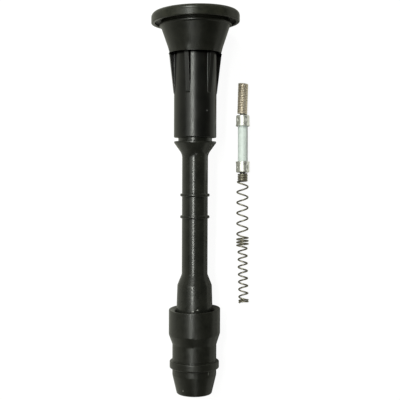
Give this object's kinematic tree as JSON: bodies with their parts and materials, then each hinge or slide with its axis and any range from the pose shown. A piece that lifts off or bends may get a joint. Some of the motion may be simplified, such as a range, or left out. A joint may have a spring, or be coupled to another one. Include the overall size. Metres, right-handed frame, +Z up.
{
  "type": "ignition coil boot",
  "caption": "Long flanged boot that joins an ignition coil to a spark plug, lying on its side beside its resistor and spring contact.",
  "frame": {"origin": "middle of the underside of the box round the boot and its contact, on the surface that they lie on", "axes": "+Y along the boot towards its coil end, +X from the boot to its contact, +Z up from the surface"},
  "size_m": [0.0456, 0.1742, 0.0402],
  "materials": {
    "rubber": "satin moulded rubber",
    "sleeve_plastic": "smooth moulded",
    "tube_plastic": "semi-gloss moulded",
    "plated_steel": "bright tin or nickel plate",
    "spring_steel": "drawn wire",
    "ceramic": "satin pale green white"
  },
  "bodies": {
    "root": {"flange_seal": "rubber", "finned_sleeve": "sleeve_plastic", "extension_tube": "tube_plastic", "plug_boot": "rubber", "terminal_coil": "spring_steel", "upper_end_cap": "plated_steel", "resistor_rod": "ceramic", "lower_end_cap": "plated_steel", "contact_spring": "spring_steel"}
  },
  "joints": []
}
